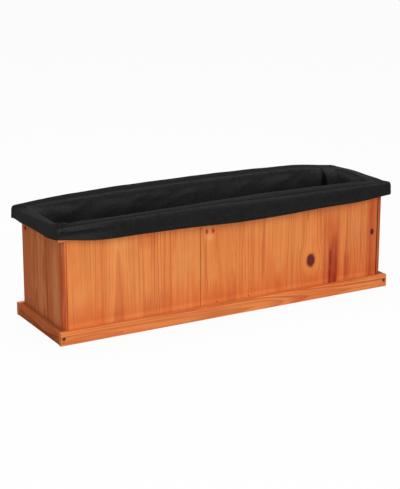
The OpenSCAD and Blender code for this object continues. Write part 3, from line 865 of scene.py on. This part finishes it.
def line(side, s):
    """The felt's middle at place s of a side: how far outside the rim, how high, and
    how much is cut off the corner at that height."""
    puff, press = PUFF * curve(puff_rows[side], s), curve(press_rows[side], s)
    stand = (STAND - LIE) * (1 - press) + puff
    top = RIM_TOP + LIE + stand
    bow, lean = BOW * curve(bow_rows[side], s), LEAN * curve(lean_rows[side], s)
    rise, drop = RISE * curve(rise_rows[side], s), DROP * curve(drop_rows[side], s)
    sag = math.sin(math.pi * s) * (SAG + FOLD * math.sin(8 * math.pi * s))
    high = RIM_TOP - FOOT
    rows = [
        (WALL - 7.0, FOOT + 1.0, BAG_CORNER),
        (WALL - 1.6, FOOT + 2.2, BAG_CORNER),
        (WALL - 0.1, FOOT + 7.0, BAG_CORNER),
        (WALL - 0.7 * sag, FOOT + 0.25 * high, BAG_CORNER),
        (WALL - sag, FOOT + 0.55 * high, BAG_CORNER),
        (WALL - 0.4 * sag, FOOT + 0.85 * high, BAG_CORNER),
        (WALL, RIM_TOP - FELT / 2, BAG_CORNER * 0.75),
        (WALL - lean + FELT * 0.75, top + rise - 0.12 * stand, BAG_CORNER * 0.14),
        (WALL - lean + RIM_WIDE * 0.2, top + 0.7 * rise, BAG_CORNER * 0.1),
        (-RIM_WIDE * 0.55 - 0.3 * lean, top, BAG_CORNER * 0.12),
        (-RIM_WIDE * 0.15 + 0.35 * bow, top - 0.7 * rise, CUFF_CORNER * 1.5),
        (FELT * 0.6 + 0.7 * bow, top - 0.15 * stand - 1.2 * rise, SKIRT_CORNER + 0.2 * stand),
        (OUT + 0.9 * bow, top - LIE - 0.55 * stand - 0.6 * rise, SKIRT_CORNER + 0.05 * stand),
        (OUT + bow, RIM_TOP - 0.5 * drop, SKIRT_CORNER),
        (OUT + bow, RIM_TOP - drop, SKIRT_CORNER),
    ]
    return [Vector(row) for row in rows]


print("points in one line:", len(line(0, 0.5)))

# %% [markdown]
# Stations go round the box: many along each side, and a few round each corner, closer
# together at the sewn seam on the diagonal. At each station the line is placed at its
# height, and the corner is rounded.

# %% Loft the cloth round the box
LEVELS = 84
ARC = [0.0, 0.12, 0.24, 0.36, 0.48, 0.6, 0.7, 0.79, 0.86, 0.91, 0.95, 0.98]
HALF = [(OUTER[0] / 2, OUTER[1] / 2), (OUTER[1] / 2, OUTER[0] / 2)] * 2


def stations(count):
    """Places along a side: m from -1 to 1, and how far round the corner, from 0 to 1."""
    first = [(-1.0, k) for k in [1.0] + ARC[:0:-1]]
    middle = [(2 * i / count - 1, 0.0) for i in range(count + 1)]
    last = [(1.0, k) for k in ARC[1:]]
    return first + middle + last


def corner_share(side, m, k):
    """Place along the side, from 0 to 1, with the corners' arcs taken in."""
    turn = 0.02 if side % 2 == 0 else 0.07
    if m <= -1:
        return turn * (1 - k)
    if m >= 1:
        return 1 - turn * (1 - k)
    return turn + (m + 1) / 2 * (1 - 2 * turn)


def on_side(side, m, k, n, z, cut):
    """A point of the cloth, on a side that is turned into its place."""
    half, deep = HALF[side]
    radius, turn = cut * 1.7, k * math.pi / 4
    x = (half + n - radius + radius * math.sin(turn)) * m
    y = deep + n - radius + radius * math.cos(turn)
    return Matrix.Rotation(side * math.pi / 2, 3, "Z") @ Vector((x, -y, z))


rows, seams = [], []
for side in range(4):
    for m, k in stations(112 if side % 2 == 0 else 32):
        control = line(side, corner_share(side, m, k))
        points = [curve(control, level / (LEVELS - 1)) for level in range(LEVELS)]
        rows.append([list(on_side(side, m, k, *point)) for point in points])
        seams.append(k == 1.0)
grid = np.array(rows)
print("cloth grid:", grid.shape)

# %% [markdown]
# Real felt is never quite even. Soft folds run across the walls, the cuff waves a little
# along its length, and each corner seam pulls the cloth in. A pleat stands in the rear
# wall, and near the left corner the cuff is lifted, with a groove under its fold. They
# could be sculpted with a brush, but a rule is easier to change. So each is a small push
# along the surface's normal.


# %% Folds, waves and seams
def normals(points):
    """The surface's normal at each point of a grid that closes along its first axis."""
    along = np.roll(points, -1, 0) - np.roll(points, 1, 0)
    up = np.gradient(points, axis=1)
    made = np.cross(along, up)
    return made / np.maximum(np.linalg.norm(made, axis=2, keepdims=True), 1e-9)


outward = normals(grid)
steps = np.linalg.norm(np.roll(grid, -1, 0) - grid, axis=2)
walk = np.cumsum(steps, axis=0) - steps
total = steps.sum(axis=0)
gap = np.full(walk.shape, 1e9)
for i in np.flatnonzero(seams):
    apart = np.abs(walk - walk[i])
    gap = np.minimum(gap, np.minimum(apart, total - apart))
WALL_LEVELS = int(LEVELS * 0.46)
PLEAT, PLEAT_TOP = 439.0, 296.0
GROOVE = 297.0


def fade(value, start, end):
    """Rises smoothly from 0 at start to 1 at end."""
    share = min(max((value - start) / (end - start), 0.0), 1.0)
    return share * share * (3 - 2 * share)


def hill(*parts):
    """1 at a place and 0 far from it. Each part is a distance and how far it reaches."""
    return math.exp(-sum((distance / reach) ** 2 for distance, reach in parts))


for i, j in np.ndindex(gap.shape):
    x, y, z = grid[i, j]
    if j < WALL_LEVELS:
        fold = noise.noise(Vector((x * 0.009 + z * 0.011, y * 0.02, z * 0.012 - x * 0.006)))
        crease = 1 - abs(noise.noise(Vector((x * 0.014 - z * 0.018, y * 0.02, z * 0.01))))
        calm = min(j / (LEVELS * 0.1), 1.0, (WALL_LEVELS - j) / (LEVELS * 0.045))
        push = (abs(fold) * 11.0 + max(crease - 0.86, 0) * 26.0) * calm * min(gap[i, j] / 70, 1)
    else:
        fold = noise.noise(Vector((x * 0.012, y * 0.012, z * 0.02)))
        fine = noise.noise(Vector((x * 0.04, y * 0.04, z * 0.05 + 9)))
        push = max(0.9 * fold + 0.35 * fine + 0.3, 0) * min(gap[i, j] / 40, 1)
    pulled = 0.9 * hill((gap[i, j], 1.3)) - 0.5 * hill((gap[i, j], 5))
    if y > 60 and x > 340 and j < LEVELS * 0.55:
        half = (1.5 + 0.2 * max(PLEAT_TOP - z, 0)) * 0.5
        aside = x - PLEAT
        if aside < 0:
            swell = 10 * fade(-aside, half, half + 4) * hill((aside, 34))
        else:
            swell = 5 * fade(aside, half, half + 5) * hill((aside, 26))
        push += swell * fade(-z, -297, -280) * fade(z, 90, 200)
    if z > 285 and x < -400 and y < 0:
        grid[i, j, 2] += 7 * hill((x + 479, 13), (y + 103, 20))
        grid[i, j, 2] -= 3 * hill((x + 458, 17), (y + 110, 7))
    if y < -138 and x < -340:
        push += 4 * hill((z - GROOVE, 4.5)) * fade(-x, 340, 430) * fade(x, -485, -462)
    grid[i, j] += outward[i, j] * (pulled - push)
print("seams at", [round(walk[i, -1]) for i in np.flatnonzero(seams)], "mm round the hem")

# %% [markdown]
# The bottom closes the bag. It lies on the slats and dips a little into the gaps between
# them, so it is made of rings that shrink to a line along the middle of the box. Then the
# cloth gets its thickness, and a hem along the lower edge of the skirt.

# %% Close the bottom and give the felt its thickness
RINGS = 12
HEM, STITCH_LINE, STITCH_STEP = 9.5, 7.5, 0.0062
foot = grid[:, 0]
half = (OUTER[0] - OUTER[1]) / 2
spine = np.clip(foot[:, 0], -half, half)
spine = np.stack([spine, np.zeros(len(foot)), np.full(len(foot), foot[0, 2])], 1)
slat_gaps = [
    (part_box(slat)[1].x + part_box(following)[0].x) * 500
    for slat, following in zip(slat_names, slat_names[1:])
]
bottom = []
for ring in range(RINGS):
    share = ring / RINGS
    points = spine + (foot - spine) * share
    for point in points:
        dip = max(hill((point[0] - x, 3.5)) for x in slat_gaps)
        point[2] -= 1.2 * dip * min((1 - share) * 4, 1)
    bottom.append(points)
bottom = np.stack(bottom, 1)
middle = np.concatenate([bottom, grid], 1)
wood_side = normals(middle)
wood_side[:, : RINGS + 1] = (0, 0, -1)
levels = middle.shape[1]
from_hem = (np.linalg.norm(np.diff(middle, axis=1), axis=2)[:, ::-1].cumsum(1))[:, ::-1]
from_hem = np.concatenate([from_hem, np.zeros((len(middle), 1))], 1)
hem = 1 / (1 + np.exp((from_hem - HEM) * 2.2))
shown = middle - wood_side * (FELT / 2 + 0.45 * hem[:, :, None])
hidden = middle + wood_side * FELT / 2
down = middle[:, -1] - middle[:, -2]
down /= np.linalg.norm(down, axis=1, keepdims=True)
edge = (shown[:, -1] + hidden[:, -1]) / 2 + down * 1.1
print("points across the cloth:", levels, "hem depth in mm:", HEM)

# %% Build the mesh of the felt
count = len(middle)
verts = np.concatenate([shown.reshape(-1, 3), hidden.reshape(-1, 3), edge]) * 0.001
offset = count * levels


def at(sheet, i, j):
    return sheet * offset + (i % count) * levels + j


faces = []
for i in range(count):
    for j in range(levels - 1):
        faces.append((at(0, i, j), at(0, i, j + 1), at(0, i + 1, j + 1), at(0, i + 1, j)))
        faces.append((at(1, i, j), at(1, i + 1, j), at(1, i + 1, j + 1), at(1, i, j + 1)))
    one, two, last = 2 * offset + i, 2 * offset + (i + 1) % count, levels - 1
    faces.append((at(1, i, last), at(1, i + 1, last), two, one))
    faces.append((one, two, at(0, i + 1, last), at(0, i, last)))
felt_mesh = bpy.data.meshes.new("felt_liner")
felt_mesh.from_pydata(verts.tolist(), [], faces)
shape = bmesh.new()
shape.from_mesh(felt_mesh)
bmesh.ops.remove_doubles(shape, verts=shape.verts, dist=2e-6)
bmesh.ops.dissolve_degenerate(shape, edges=shape.edges, dist=1e-6)
shape.to_mesh(felt_mesh)
open_edges = sum(1 for e in shape.edges if len(e.link_faces) != 2)
shape.free()
liner = add("felt_liner", felt_mesh)
alone(liner)
bpy.ops.object.shade_smooth()
cloth_area = sum(f.area for f in felt_mesh.polygons) / 2
print("liner faces:", len(felt_mesh.polygons), "open edges:", open_edges)
print("cloth area in square metres:", round(cloth_area, 4))

# %% [markdown]
# A line of stitches holds the hem. Each stitch is a short, thick thread that dips into the
# felt at both ends. One stitch is modelled with few faces, because it is repeated
# hundreds of times along the skirt.

# %% Sew the hem
deselect()
bpy.ops.mesh.primitive_cylinder_add(vertices=6, radius=0.00035, depth=0.0036)
bpy.ops.object.mode_set(mode="EDIT")
bpy.ops.mesh.select_all(action="DESELECT")
shape = bmesh.from_edit_mesh(bpy.context.object.data)
for face in shape.faces:
    face.select_set(abs(face.normal.z) > 0.9)
bmesh.update_edit_mesh(bpy.context.object.data)
bpy.ops.mesh.extrude_faces_move(TRANSFORM_OT_shrink_fatten={"value": 0.0007})
bpy.ops.transform.resize(value=(0.4, 0.4, 1))
bpy.ops.object.mode_set(mode="OBJECT")
stitch = bpy.context.object
stitch_points = [v.co.copy() for v in stitch.data.vertices]
stitch_faces = [tuple(f.vertices) for f in stitch.data.polygons]
bpy.data.objects.remove(stitch)

nearest = np.argmin(np.abs(from_hem[:, RINGS:] - STITCH_LINE), axis=1) + RINGS
sewn = [Vector(shown[i, j] * 0.001) for i, j in enumerate(nearest)]
verts, faces, left_over = [], [], 0.0
for first, second in zip(sewn, sewn[1:] + sewn[:1]):
    way, spot = second - first, left_over
    while spot < way.length:
        turn = way.to_track_quat("Z", "Y").to_matrix()
        centre = first + way.normalized() * spot
        faces += [tuple(k + len(verts) for k in f) for f in stitch_faces]
        verts += [centre + turn @ p for p in stitch_points]
        spot += STITCH_STEP
    left_over = spot - way.length
thread_mesh = bpy.data.meshes.new("hem_stitches")
thread_mesh.from_pydata(verts, [], faces)
stitches = add("hem_stitches", thread_mesh)
alone(stitches)
bpy.ops.object.shade_smooth()
print("stitches:", len(verts) // len(stitch_points))

# %% [markdown]
# Needle felt is matte and black, with short fibres that catch a little light where the
# cloth turns away. A sheen on the shader gives that, and two sizes of noise make the
# fibres and the punched surface. A weave would be wrong here: felt has none.
#
# Light and shade are painted on it as well. The inner walls are painted lighter towards
# the rim, and the rear cuff and its skirt a little darker. The pleat and the open end of
# the near left mitre get painted shade. On the cuff, the top that faces up is painted
# darker, the outer fold at the front gets a painted highlight, and its inner edge gets
# painted shade. At the front left the low skirt is painted lighter, with a band of
# painted shade in the groove above it, and the left skirt by that corner is painted
# darker. These could be painted on a picture of the cloth, but masks of coordinates and
# of the facing stay sharp close by.

# %% Felt
felt = Finish("black_felt")
x, y, z = felt.parts("Object")
fibres = felt.cloud(x * 1500, y * 1500, z * 1500, 4)
clumps = felt.cloud(x * 170, y * 170, z * 170, 3, 5)
lint = felt.cloud(x * 700, y * 700, z * 260, 1, 9).step(0.72, 0.8)
BLACK, WORN_BLACK = [0.0095, 0.0095, 0.0099], [0.0213, 0.0213, 0.0221]
colour = felt.mix(BLACK, WORN_BLACK, fibres.step(0.3, 0.75))
colour = felt.shade(colour, clumps * 1.1 + 0.45)
# Painted light: the inner walls are painted lighter towards the rim, and the rear cuff and its
# skirt are painted a little darker as painted shade.
inside_light_and_rear_shade = (1 - x.size().step(0.472, 0.48)) * (1 - y.size().step(0.113, 0.121))
inside_light_and_rear_shade = inside_light_and_rear_shade * (z.step(0.225, 0.295) * 1.15 - 0.05) - y.step(0.112, 0.12) * 0.22
patchy = felt.cloud(x * 26, y * 26, z * 40, 3, 14)
colour = felt.shade(colour, (inside_light_and_rear_shade + 1.0) * (patchy * 0.5 + 0.75))
# Painted shade: the pleat in the rear wall is painted dark inside, widening downwards.
aside = ((x - PLEAT / 1000) / ((PLEAT_TOP / 1000 - z).most(0.0) * 0.2 + 0.0015)).size()
crease = (1 - aside.step(0.35, 1.0)) * z.hump(0.2, 0.25, 0.293, 0.299)
crease = crease * y.hump(0.06, 0.07, 0.118, 0.124)
# Painted shade in the open end of the near left mitre of the cuff.
MITRE_X, MITRE_Y = -0.4845, -0.111
over, behind = x - MITRE_X, y - MITRE_Y
along, aside = over * 0.49 + behind * 0.87, over * 0.87 - behind * 0.49
mitre_gap_shade = ((along * 75.0) ** 2 + (aside * 210.0) ** 2).bell() * z.step(0.292, 0.296) * 1.3
colour = felt.mix(colour, [0.002, 0.002, 0.002], (crease * 0.85).most(mitre_gap_shade))

# %% Painted light and shade on the cuff
forward, leftward = y * -1, x * -1
_, ny, nz = felt.parts("Normal")
# Painted shade on the top of the cuff that faces up, stronger at the front.
painted_top_shade = nz.step(0.84, 0.98) * z.step(0.288, 0.296) * (0.5 - y.step(-0.12, -0.02) * 0.3)
# Painted highlight on the outer fold of the front cuff, where it faces forwards.
wear_and_highlight = nz.hump(0.03, 0.4, 0.72, 0.9) * (ny * -1).step(0.2, 0.6)
wear_and_highlight = wear_and_highlight * forward.step(0.122, 0.13) * (1.6 - x.step(-0.485, -0.445) * 0.6)
# Painted light on the low front skirt at the left, with a band of painted shade in the groove
# above it.
front_side = forward.step(0.139, 0.142) * (1 - x.step(-0.47, -0.31))
skirt_light_and_groove_shade = (1 - z.step(0.284, 0.291)) * 0.8
skirt_light_and_groove_shade = skirt_light_and_groove_shade - (((z - 0.2965) * 280.0) ** 2).bell() * x.step(-0.485, -0.462) * 0.4
# Painted shade on the left skirt by the near corner, and on the inner edge of the front cuff.
corner_side_shade = leftward.step(0.498, 0.501) * (1 - y.step(-0.11, -0.06)) * (1 - z.step(0.29, 0.3))
inner_edge_shade = forward.step(0.095, 0.105) * ny.step(-0.1, 0.25) * z.step(0.284, 0.29)
# All this painted light and shade multiplies the felt's colour.
painted_light = (1 - painted_top_shade) * (wear_and_highlight * 0.75 + 1) * (front_side * skirt_light_and_groove_shade + 1)
painted_light = painted_light * (1 - corner_side_shade * 0.2) * (1 - inner_edge_shade * 0.45)
colour = felt.shade(colour, painted_light)
colour = felt.mix(colour, [0.05, 0.05, 0.05], lint * 0.3)
relief = {"Strength": 0.5, "Distance": 0.0006, "Height": fibres * 0.6 + clumps * 0.6}
bump = felt.node("Bump", {}, relief)
felt.dress({"Base Color": colour, "Roughness": fibres * 0.2 + 0.68, "Normal": bump})
felt.dress({"Specular IOR Level": 0.03, "Sheen Weight": 0.015, "Sheen Roughness": 0.5})
print("felt nodes:", len(felt.tree.nodes))

# %% Thread and places
thread = Finish("black_thread")
x, y, z = thread.parts("Object")
twist = thread.cloud(x * 2600, y * 2600, z * 2600, 2)
colour = thread.mix([0.008, 0.008, 0.009], [0.03, 0.03, 0.032], twist.step(0.35, 0.65))
thread.dress({"Base Color": colour, "Roughness": twist * 0.2 + 0.6, "Specular IOR Level": 0.05})
liner.data.materials.append(felt.material)
stitches.data.materials.append(thread.material)
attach(liner, "liner")
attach(stitches, "liner")
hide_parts("liner_front", "liner_right", "liner_back", "liner_left", "liner_base")
print("liner dressed")

# %% [markdown]
# ## Floor and light
# The photograph was taken in a white studio, in the light of large soft lamps: the
# strongest at the front left, a weaker one at the front right and one overhead. A very
# bright world could give the white, but it would light the box from everywhere. So the
# floor and the world are bright only for the rays of the camera, of a gloss and of glass.

# %% Floor
deselect()
bpy.ops.mesh.primitive_plane_add(size=60, location=(0, 0, -0.0002))
floor = bpy.context.object
floor.name = "studio_floor"
paper = Finish("studio_paper")
paper.dress({"Base Color": (0.9, 0.9, 0.9), "Roughness": 0.9})
glow = paper.node("Emission", {}, {"Color": (1, 1, 1), "Strength": 1.0})
lit = Wire(paper, paper.shader.outputs[0])
both = paper.node("MixShader", {}, {0: paper.background() * 0.94, 1: lit, 2: glow})
paper.feed(paper.tree.nodes["Material Output"].inputs["Surface"], both)
floor.data.materials.append(paper.material)
print("floor", tuple(floor.dimensions))


# %% Lamps and world
def lamp(name, power, size, place):
    """A square soft lamp that points at the middle of the box."""
    bpy.ops.object.light_add(type="AREA", location=place)
    light = bpy.context.object
    light.name = name
    light.data.energy, light.data.size = power, size
    way = Vector((0, 0, 0.15)) - Vector(place)
    light.rotation_euler = way.to_track_quat("-Z", "Y").to_euler()


lamp("front_left_lamp", 68, 2.4, (-1.8, -3.6, 2.8))
lamp("front_right_lamp", 27, 2.4, (1.7, -3.4, 2.6))
lamp("overhead_lamp", 44, 2.6, (-0.3, 0.3, 3.2))
sky = Finish("studio", bpy.data.worlds.new("studio"))
bpy.context.scene.world = sky.material
sky.dress({"Color": (1, 1, 1), "Strength": sky.background() * 0.64 + 0.36})
